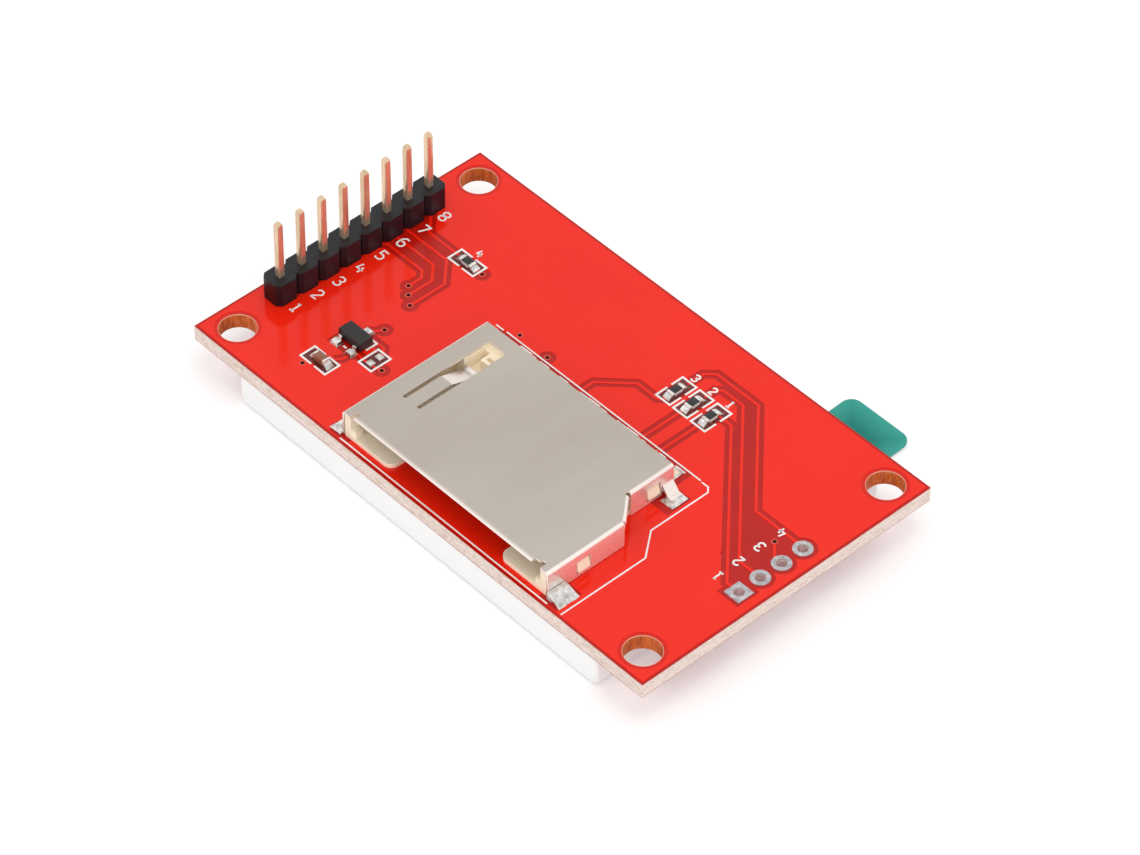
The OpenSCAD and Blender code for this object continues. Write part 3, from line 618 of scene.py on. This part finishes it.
def header_material():
    """Black glass-filled plastic with a shallow parting groove between one pin's block and the next,
    painted darker as shade in the groove.
    """
    material, shader = new_material("header_plastic", Specular_IOR_Level=0.35)
    tree = material.node_tree
    place = coordinates(tree, centre_of("header_body"))
    fine, broad = grain(tree, place, 0.12, 1.5)
    along = add(tree, "ShaderNodeSeparateXYZ", (place,)).outputs[1]
    odd = calc(tree, "PINGPONG", along, pin_pitch)
    near = calc(tree, "MINIMUM", odd, calc(tree, "SUBTRACT", pin_pitch, odd))
    groove = spread(tree, near, groove_half, 0.0)
    body = mix(tree, broad, moulded_dark, moulded_light)
    # painted shade: the groove is darker than the plastic round it
    tree.links.new(mix(tree, groove, body, groove_painted_shade), shader.inputs["Base Color"])
    tree.links.new(spread(tree, fine, 0, 1, 0.28, 0.42), shader.inputs["Roughness"])
    relief(tree, shader, calc(tree, "SUBTRACT", fine, calc(tree, "MULTIPLY", groove, 8.0)), 0.003)
    return material


header_black = header_material()
pin_gold = plain_finish(
    "pin_plating", (0.58, 0.42, 0.27), (0.88, 0.67, 0.46), (0.20, 0.30), fine=0.25, broad=1.0,
    depth=0.0006, stretch=(1, 1, 8), centre=centre_of("header_pin_4"), metallic=0.7,
)
# solder: its dark patches among the bright ones are painted reflections of darker surroundings, for
# contrast on the shiny curves
solder_painted_reflection = plain_finish(
    "solder_painted_reflection", (0.34, 0.31, 0.29), (1.0, 0.99, 0.96), (0.08, 0.22), fine=0.7, broad=0.5,
    depth=0.005, metallic=1.0,
)


def own_copy(node, name):
    """A copy of a CAD node's mesh that stands for it, its loose triangles joined and its flat faces
    made whole; left in edit mode."""
    made = bpy.data.objects.new(name, nodes[node].data.copy())
    bpy.context.scene.collection.objects.link(made)
    made.data.materials.clear()
    only(made)
    bpy.ops.object.mode_set(mode="EDIT")
    bpy.ops.mesh.select_all(action="SELECT")
    bpy.ops.mesh.remove_doubles(threshold=0.0005 * mm)
    bpy.ops.mesh.dissolve_limited(angle_limit=math.radians(1))
    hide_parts(node)
    return made


def clean():
    """In edit mode: merges the points and drops the slivers that a clamped bevel leaves."""
    bpy.ops.mesh.select_all(action="SELECT")
    bpy.ops.mesh.remove_doubles(threshold=0.001 * mm)
    bpy.ops.mesh.dissolve_degenerate(threshold=0.001 * mm)


def softened(made, width, material):
    """Rounds the sharp edges of a piece in edit mode by a width in millimetres and finishes it."""
    bpy.ops.object.mode_set(mode="OBJECT")
    apply(
        made, "BEVEL", width=width * mm, segments=2, limit_method="ANGLE",
        angle_limit=math.radians(40),
    )
    bpy.ops.object.mode_set(mode="EDIT")
    clean()
    end_mesh(made, material, 35)
    apply(made, "WEIGHTED_NORMAL", keep_sharp=True)


def copied(made, name, shift, turn=0):
    """A copy of a finished piece with its own mesh, turned by degrees about +Z and moved in metres."""
    copy = bpy.data.objects.new(name, made.data.copy())
    copy.data.transform(Matrix.Translation(shift) @ Matrix.Rotation(math.radians(turn), 4, "Z"))
    bpy.context.scene.collection.objects.link(copy)
    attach(copy, "root")
    return copy


softened(own_copy("header_body", "header_strip"), 0.05, header_black)

pin_low, pin_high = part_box("header_pin_1")
drawn = Vector((0, 0, sum(rise for rise, share in pin_end)))
first_pin = start_mesh("first_pin")
block(first_pin, pin_low / mm + drawn, pin_high / mm - drawn)
for way in (1, -1):
    pick(first_pin, lambda middle, aim: aim.z * way > 0.9)
    for rise, share in pin_end:
        bpy.ops.mesh.extrude_region_move(TRANSFORM_OT_translate={"value": (0, 0, way * rise * mm)})
        bpy.ops.transform.resize(value=(share, share, 1), center_override=(pin_low + pin_high) / 2)
bpy.ops.object.mode_set(mode="OBJECT")
apply(first_pin, "BEVEL", width=0.07 * mm, segments=3, limit_method="ANGLE", angle_limit=math.radians(30))
bpy.ops.object.mode_set(mode="EDIT")
end_mesh(first_pin, pin_gold, 50)
for i in range(1, 9):
    pin = copied(first_pin, f"pin_{i}", centre_of(f"header_pin_{i}") - centre_of("header_pin_1"))
    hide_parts(f"header_pin_{i}")
bpy.data.objects.remove(first_pin)
dress("header_solder", solder_painted_reflection)

# ---- card pads ---------------------------------------------------------------------------------
# Four plated holes with tinned lands, left empty for a second row of pins.

pad_face_dark, pad_face_light = (0.37, 0.35, 0.365), (0.64, 0.62, 0.64)
pad_wall_reflection_dark, pad_wall_reflection_light = (0.62, 0.44, 0.42), (0.92, 0.74, 0.72)


def pad_material():
    """Dull tin on the land; the plated wall of the hole is paler, and the red it catches from round it is
    a painted reflection in its colour.
    """
    material, shader = new_material("pad_tin")
    tree = material.node_tree
    place = coordinates(tree, centre_of("card_pad_2"))
    fine, broad = grain(tree, place, 0.25, 0.5)
    depth = add(tree, "ShaderNodeSeparateXYZ", (coordinates(tree),)).outputs[2]
    wall = spread(tree, depth, 0.0, -0.04)
    land = mix(tree, broad, pad_face_dark, pad_face_light)
    # painted reflection: the wall's pink is the red board painted into it
    barrel_reflection = mix(tree, fine, pad_wall_reflection_dark, pad_wall_reflection_light)
    tree.links.new(mix(tree, wall, land, barrel_reflection), shader.inputs["Base Color"])
    tree.links.new(spread(tree, wall, 0, 1, 0.9, 0.15), shader.inputs["Metallic"])
    tree.links.new(spread(tree, fine, 0, 1, 0.2, 0.42), shader.inputs["Roughness"])
    relief(tree, shader, fine, 0.01)
    return material


pad_tin = pad_material()
for i in range(1, 5):
    dress(f"card_pad_{i}", pad_tin)

# ---- card socket -------------------------------------------------------------------------------
# A shell stamped and bent from thin nickel-plated steel round a moulded cream housing, in which
# nine gilt contact springs are pressed. Shell feet and contact feet are soldered to the board.

# the top is the plain sheet; the walls, bends and cut edges get a brighter painted sheen
shell_top_dark = (0.49, 0.435, 0.375)
shell_top_light = (0.56, 0.505, 0.45)
shell_wall_sheen_dark = (0.84, 0.72, 0.66)
shell_wall_sheen_light = (0.96, 0.88, 0.82)


def shell_material():
    """Satin nickel; the walls, bends and cut edges are painted brighter than the top, a painted sheen of
    light from the side.
    """
    material, shader = new_material("shell_nickel")
    tree = material.node_tree
    fine, broad = grain(tree, coordinates(tree, centre_of("socket_shell"), (1, 4, 1)), 0.35, 8)
    normal = add(tree, "ShaderNodeNewGeometry").outputs["Normal"]
    upright = calc(tree, "ABSOLUTE", add(tree, "ShaderNodeSeparateXYZ", (normal,)).outputs[2])
    flat = calc(tree, "POWER", spread(tree, upright, 0.5, 0.998), 25.0)
    top = mix(tree, broad, shell_top_dark, shell_top_light)
    side = mix(tree, broad, shell_wall_sheen_dark, shell_wall_sheen_light)
    # painted light: faces that do not face up take the brighter sheen colours
    tree.links.new(mix(tree, flat, side, top), shader.inputs["Base Color"])
    tree.links.new(spread(tree, flat, 0, 1, 0.70, 1.0), shader.inputs["Metallic"])
    tree.links.new(spread(tree, fine, 0, 1, 0.26, 0.34), shader.inputs["Roughness"])
    relief(tree, shader, fine, 0.00012)
    return material


housing_cream = plain_finish(
    "housing_plastic", (0.93, 0.79, 0.58), (0.98, 0.88, 0.69), (0.38, 0.55), fine=0.2, broad=3,
    depth=0.003, centre=centre_of("socket_housing"),
)
contact_gold = plain_finish(
    "contact_plating", (0.72, 0.61, 0.44), (0.90, 0.80, 0.63), (0.18, 0.32), fine=0.15, broad=1,
    depth=0.001, metallic=1.0,
)
softened(own_copy("socket_shell", "shell"), 0.04, shell_material())
softened(own_copy("socket_housing", "housing"), 0.06, housing_cream)
for i in range(1, 10):
    dress(f"socket_contact_{i}", contact_gold)
dress("contact_solder", solder_painted_reflection)

# solder has run over each shell foot and its land: low corner, high corner, shares of the top, point
# it is drawn in to
feet = [
    ((16.5, -16.55, 0), (18.3, -14.1, 0.8), (0.35, 0.8), (16.5, -15.3, 0)),
    ((14.5, -1.4, 0), (16.15, 0.75, 0.24), (0.75, 0.8), (15.2, -0.2, 0)),
    ((-11.55, -16.6, 0), (-10.0, -14.7, 0.3), (0.8, 0.85), (-10.0, -15.7, 0)),
    ((-11.6, -1.3, 0), (-10.0, 0.9, 0.4), (0.8, 0.85), (-10.0, -0.2, 0)),
]
clouds = bpy.data.textures.new("solder_clouds", "CLOUDS")
clouds.noise_scale = 0.9 * mm
clouds.noise_depth = 0


def melted(made, levels, ripple=0.0):
    """Rounds blocks in edit mode into solder that has run, its face uneven by ripple in millimetres."""
    bpy.ops.object.mode_set(mode="OBJECT")
    apply(made, "SUBSURF", levels=levels, render_levels=levels)
    if ripple:
        apply(
            made, "DISPLACE", texture=clouds, strength=ripple * mm, mid_level=0.5,
            texture_coords="LOCAL",
        )
    bpy.ops.object.mode_set(mode="EDIT")
    end_mesh(made, solder_painted_reflection, 60)


made = start_mesh("shell_fillets")
for low, high, top, about in feet:
    block(made, low, high, 0.1, top, about)
melted(made, 3, 0.10)
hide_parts("shell_solder")

# ---- small parts -------------------------------------------------------------------------------
# Chip resistors and a chip capacitor are fired ceramic with tinned ends, the resistors under a black
# coat; the regulator is moulded round its three legs. All are soldered on the component face.

# length and width of a chip part, and the length of its tinned end
chip_l, chip_w, cap_l = 1.6, 0.8, 0.32
ceramic_white = plain_finish(
    "alumina", (0.62, 0.60, 0.56), (0.80, 0.78, 0.74), (0.4, 0.55), fine=0.08, broad=0.7
)
ceramic_brown = plain_finish(
    "capacitor_ceramic", (0.19, 0.068, 0.03), (0.31, 0.125, 0.06), (0.25, 0.4), fine=0.08, broad=0.7
)
black_coat = plain_finish(
    "resistor_coat", (0.006, 0.006, 0.008), (0.016, 0.016, 0.02), (0.15, 0.3), fine=0.1, broad=0.6
)
# tinned ends: the dark patches among the bright ones are painted reflections of darker surroundings
tinned_end_painted_reflection = plain_finish(
    "tinned_end_painted_reflection", (0.52, 0.49, 0.45), (1.0, 0.99, 0.96), (0.1, 0.24), fine=0.3, broad=0.35,
    depth=0.006, metallic=1.0,
)
moulding = plain_finish(
    "moulding_compound", (0.012, 0.0105, 0.011), (0.024, 0.021, 0.021), (0.3, 0.5), fine=0.06, broad=0.9,
    depth=0.006, centre=centre_of("regulator_body"), Specular_IOR_Level=0.4,
)


def chip(name, height, body, rounding, coat=None):
    """A chip part at the origin, along X: ceramic body, two tinned ends, a coat between them."""
    made = start_mesh(name)
    half, side = chip_l / 2, chip_w / 2
    bare = half - cap_l
    block(made, (-half + 0.1, -side + 0.03, 0.03), (half - 0.1, side - 0.03, height - 0.03), 0.02)
    for way in (-1, 1):
        ends = sorted((way * half, way * bare))
        block(made, (ends[0], -side, 0.01), (ends[1], side, height), rounding)
    if coat is not None:
        low, high = (-bare, -side + 0.02, height - 0.05), (bare, side - 0.02, height - 0.005)
        block(made, low, high, 0.015)
    end_mesh(made, body, 45)
    made.data.materials.append(tinned_end_painted_reflection)
    made.data.materials.append(coat or body)
    for face in made.data.polygons:
        middle = face.center / mm
        if abs(middle.x) > bare - 0.001:
            face.material_index = 1
        elif middle.z > height - 0.05:
            face.material_index = 2
    return made


resistor = chip("resistor", 0.45, ceramic_white, 0.05, black_coat)
for i in range(1, 5):
    node = f"resistor_{i}"
    low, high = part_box(node)
    turn = 90 if high.y - low.y > high.x - low.x else 0
    made = copied(resistor, f"chip_resistor_{i}", (*centre_of(node).xy, 0), turn)
    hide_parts(node)
capacitor = chip("capacitor_shape", 0.8, ceramic_brown, 0.14)
made = copied(capacitor, "chip_capacitor", (*centre_of("capacitor").xy, 0))
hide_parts("capacitor")
bpy.data.objects.remove(resistor)
bpy.data.objects.remove(capacitor)

softened(own_copy("regulator_body", "regulator_case"), 0.05, moulding)
for i in range(1, 4):
    leg = own_copy(f"regulator_lead_{i}", f"regulator_leg_{i}")
    softened(leg, 0.03, tinned_end_painted_reflection)

# at each end of a chip part the solder reaches under it and out, drawn in towards the end
fillet_in, fillet_out, fillet_side = 0.1, 0.5, 0.04
fillets = start_mesh("chip_fillets")
for node, height in [(f"resistor_{i}", 0.34) for i in range(1, 5)] + [("capacitor", 0.5)]:
    low, high = (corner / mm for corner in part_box(node))
    along = 1 if high.y - low.y > high.x - low.x else 0
    for end, way in ((low[along], -1), (high[along], 1)):
        start, stop, about = low.copy(), high.copy(), (low + high) / 2
        start[along], stop[along] = sorted((end - way * fillet_in, end + way * fillet_out))
        start[1 - along] -= fillet_side
        stop[1 - along] += fillet_side
        start.z, stop.z = 0, height
        about[along], about.z = end, 0
        block(fillets, start, stop, 0.05, (0.8, 0.3) if along else (0.3, 0.8), about)
for i in range(1, 4):
    foot = centre_of(f"regulator_lead_{i}") / mm
    way = 1 if foot.y > centre_of("regulator_body").y / mm else -1
    y = foot.y + way * 0.28
    block(fillets, (foot.x - 0.54, y - 0.46, 0), (foot.x + 0.54, y + 0.46, 0.38), 0.05, (0.7, 0.65))
melted(fillets, 2, 0.06)
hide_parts("chip_solder")

# two tinned squares that can be bridged to run the board straight from its supply
made = start_mesh("jumper_tin")
for x, y in ((-14.98, -8.68), (-14.98, -7.62)):
    block(made, (x - 0.4, y - 0.36, 0), (x + 0.4, y + 0.36, 0.2), 0.05, (0.85, 0.85))
melted(made, 2)
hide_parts("jumper_solder")

# ---- display -----------------------------------------------------------------------------------
# A white moulded frame holds the lamps, light guide, sheets and glass of the screen. Two strips of
# foam tape stick it under the board, and an amber flexible tail runs round its end.

finishes = {
    "reflector_sheet": (
        "reflector_film", (0.75, 0.77, 0.78), (0.88, 0.89, 0.9), (0.15, 0.25), {"metallic": 0.8}
    ),
    "light_guide": (
        "guide_acrylic", (0.85, 0.9, 0.92), (0.92, 0.95, 0.96), (0.08, 0.15), {"Transmission_Weight": 0.8}
    ),
    "diffuser_sheet": ("diffuser_film", (0.85, 0.86, 0.87), (0.93, 0.93, 0.94), (0.6, 0.75), {}),
    "prism_sheet_1": ("prism_film_1", (0.8, 0.83, 0.85), (0.9, 0.92, 0.93), (0.2, 0.35), {}),
    "prism_sheet_2": ("prism_film_2", (0.8, 0.83, 0.85), (0.9, 0.92, 0.93), (0.2, 0.35), {}),
    "led_strip": ("lamp_strip", (0.80, 0.76, 0.50), (0.9, 0.88, 0.7), (0.4, 0.55), {}),
    "rim_tape": ("rim_tape", (0.01, 0.01, 0.01), (0.025, 0.025, 0.025), (0.5, 0.65), {}),
    "rear_polariser": ("rear_polariser", (0.10, 0.11, 0.12), (0.15, 0.16, 0.17), (0.2, 0.3), {}),
    "array_glass": (
        "array_glass", (0.34, 0.42, 0.42), (0.42, 0.5, 0.5), (0.04, 0.08), {"Transmission_Weight": 0.6}
    ),
    "filter_glass": (
        "filter_glass", (0.22, 0.27, 0.28), (0.30, 0.36, 0.36), (0.04, 0.08), {"Transmission_Weight": 0.5}
    ),
    "front_polariser": ("front_polariser", (0.022, 0.026, 0.032), (0.03, 0.036, 0.045), (0.12, 0.2), {}),
    "driver_chip": ("silicon", (0.05, 0.05, 0.06), (0.1, 0.1, 0.12), (0.1, 0.2), {"metallic": 0.6}),
    "flex_tail": ("flex_film", (0.55, 0.22, 0.035), (0.72, 0.34, 0.07), (0.22, 0.35), {}),
    "flex_solder": ("flex_solder", (0.6, 0.6, 0.6), (0.85, 0.85, 0.85), (0.2, 0.35), {"metallic": 1.0}),
    "foam_tape_1": ("foam_tape", (0.82, 0.82, 0.79), (0.92, 0.92, 0.9), (0.8, 0.95), {}),
    "foam_tape_2": ("foam_tape_second", (0.82, 0.82, 0.79), (0.92, 0.92, 0.9), (0.8, 0.95), {}),
}
frame_white = plain_finish(
    "frame_plastic", (0.955, 0.955, 0.95), (0.985, 0.985, 0.98), (0.35, 0.5),
    centre=centre_of("display_frame"),
)
made = own_copy("display_frame", "white_frame")
frame_low, frame_high = (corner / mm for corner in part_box("display_frame"))
corners = [(x, y) for x in (frame_low.x, frame_high.x) for y in (frame_low.y, frame_high.y)]
pick(
    made,
    lambda middle, aim: abs(aim.z) > 0.9
    and any(abs(middle.x - x) + abs(middle.y - y) < 0.01 for x, y in corners),
    "EDGE",
)
bpy.ops.mesh.bevel(offset=0.45 * mm, segments=6, affect="EDGES")
softened(made, 0.08, frame_white)

for node, (name, dark, light, rough, extra) in finishes.items():
    dress(node, plain_finish(name, dark, light, rough, centre=centre_of(node), **extra))

# ---- film --------------------------------------------------------------------------------------
# A clear film protects the screen until the module is used; a teal tab stuck to it stands out.

dress("protective_film", plain_finish(
    "clear_film", (0.90, 0.94, 0.97), (0.96, 0.98, 1.0), (0.05, 0.12), centre=centre_of("protective_film"),
    Alpha=0.12,
))
tab_low, tab_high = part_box("pull_tab")
# the tab is stuck on a little to one side of its place in the model; its rim is paler over rim_w
tab_shift = 0.45 * mm
rim_w = 2.4
tab_deep, tab_pale, tab_rim = (0.001, 0.19, 0.15), (0.002, 0.225, 0.18), (0.06, 0.45, 0.37)


def tab_material():
    """Teal film, paler towards its free rim, where light that runs inside it comes out."""
    material, shader = new_material("tab_film", Specular_IOR_Level=0.3)
    tree = material.node_tree
    middle = centre_of("pull_tab") + Vector((tab_shift, 0, 0))
    place = coordinates(tree, middle)
    fine, broad = grain(tree, place, 0.2, 3.0)
    x, y = add(tree, "ShaderNodeSeparateXYZ", (place,)).outputs[:2]
    half = (tab_high - tab_low) / 2 / mm
    from_side = calc(tree, "SUBTRACT", calc(tree, "ABSOLUTE", x), half.x)
    from_rim = calc(tree, "MAXIMUM", from_side, calc(tree, "SUBTRACT", y, half.y))
    rim = spread(tree, from_rim, -rim_w, 0.0, 0.0, 0.6)
    film = mix(tree, broad, tab_deep, tab_pale)
    tree.links.new(mix(tree, rim, film, tab_rim), shader.inputs["Base Color"])
    tree.links.new(spread(tree, fine, 0, 1, 0.3, 0.45), shader.inputs["Roughness"])
    relief(tree, shader, fine, 0.004)
    return material


tab = own_copy("pull_tab", "tab")
bpy.ops.mesh.select_all(action="SELECT")
bpy.ops.transform.translate(value=(tab_shift, 0, 0))
for y in range(18, 23):
    # the free end lifts off the table a little more at each crease
    crease = Vector((0, y * mm, tab_low.z))
    bpy.ops.mesh.select_all(action="SELECT")
    bpy.ops.mesh.bisect(plane_co=crease, plane_no=(0, 1, 0))
    pick(tab, lambda middle, aim: middle.y > y)
    bpy.ops.transform.rotate(value=math.radians(-0.8), orient_axis="X", center_override=crease)
end_mesh(tab, tab_material(), 35)

# ---- floor, light and camera -------------------------------------------------------------------
# A white table in plain soft light, looked at from one corner.

object_low, object_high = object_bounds()
bpy.ops.object.select_all(action="DESELECT")
bpy.ops.mesh.primitive_plane_add(size=4, location=(0, 0, object_low[2] - 0.01 * mm))
floor = bpy.context.object
floor.name = "floor"
# the camera sees the floor brighter than it lights the object
floor_glow = 0.26
white_floor, floor_shader = new_material("white_floor", roughness=0.9, Specular_IOR_Level=0.0)
floor_shader.inputs["Base Color"].default_value = (0.82, 0.81, 0.81, 1)
floor_tree = white_floor.node_tree
path = add(floor_tree, "ShaderNodeLightPath")
seen = calc(floor_tree, "ADD", path.outputs["Is Camera Ray"], path.outputs["Is Glossy Ray"])
glow = calc(floor_tree, "MULTIPLY", seen, floor_glow)
floor_tree.links.new(glow, floor_shader.inputs["Emission Strength"])
floor_shader.inputs["Emission Color"].default_value = (1, 1, 1, 1)
floor.data.materials.append(white_floor)

world = bpy.data.worlds.new("studio")
bpy.context.scene.world = world
world.use_nodes = True
world_tree = world.node_tree
sky = world_tree.nodes["Background"]
sky.inputs["Color"].default_value = (1, 1, 1, 1)
# full white where it is seen, mirrored or looked at through glass, a little less as a light
seen_strength, light_strength = 1.0, 0.875
rays = add(world_tree, "ShaderNodeLightPath").outputs
seen = calc(world_tree, "ADD", rays["Is Camera Ray"], rays["Is Glossy Ray"])
seen = calc(world_tree, "ADD", seen, rays["Is Transmission Ray"])
strength = spread(world_tree, seen, 0, 1, light_strength, seen_strength)
world_tree.links.new(strength, sky.inputs["Strength"])

lamps = (
    ("soft_key", (0.1, 0.0, 0.6), 0.3, 0.5),
    ("soft_fill", (0.35, -0.45, 0.35), 0.5, 0.4),
    ("soft_side", (0.5, -0.3, 0.12), 0.5, 0.5),
)
for name, place, size, watts in lamps:
    lamp_data = bpy.data.lights.new(name, "AREA")
    lamp_data.size = size
    lamp_data.energy = watts
    lamp = bpy.data.objects.new(name, lamp_data)
    lamp.location = place
    # metal shows the white room round it, not the lamps
    lamp.visible_glossy = False
    lamp.rotation_euler = (-Vector(place)).to_track_quat("-Z", "Y").to_euler()
    bpy.context.scene.collection.objects.link(lamp)

camera_data = bpy.data.cameras.new("camera")
camera_data.lens = 169.14
camera_data.sensor_width = 36
camera_data.clip_start = 0.01
camera_data.clip_end = 20
camera = bpy.data.objects.new("camera", camera_data)
bpy.context.scene.collection.objects.link(camera)
azimuth = math.radians(46.947)
elevation = math.radians(45.089)
roll = math.radians(0.565)
# right, up and back from the origin, along the camera's own axes
camera_place = Vector((1.125, -1.927, 470.971)) * mm
camera.matrix_world = (
    Matrix.Rotation(azimuth, 4, "Z")
    @ Matrix.Rotation(math.pi / 2 - elevation, 4, "X")
    @ Matrix.Rotation(roll, 4, "Z")
    @ Matrix.Translation(camera_place)
)
bpy.context.scene.camera = camera
bpy.context.scene.view_settings.view_transform = "Standard"

low, high = cad_box
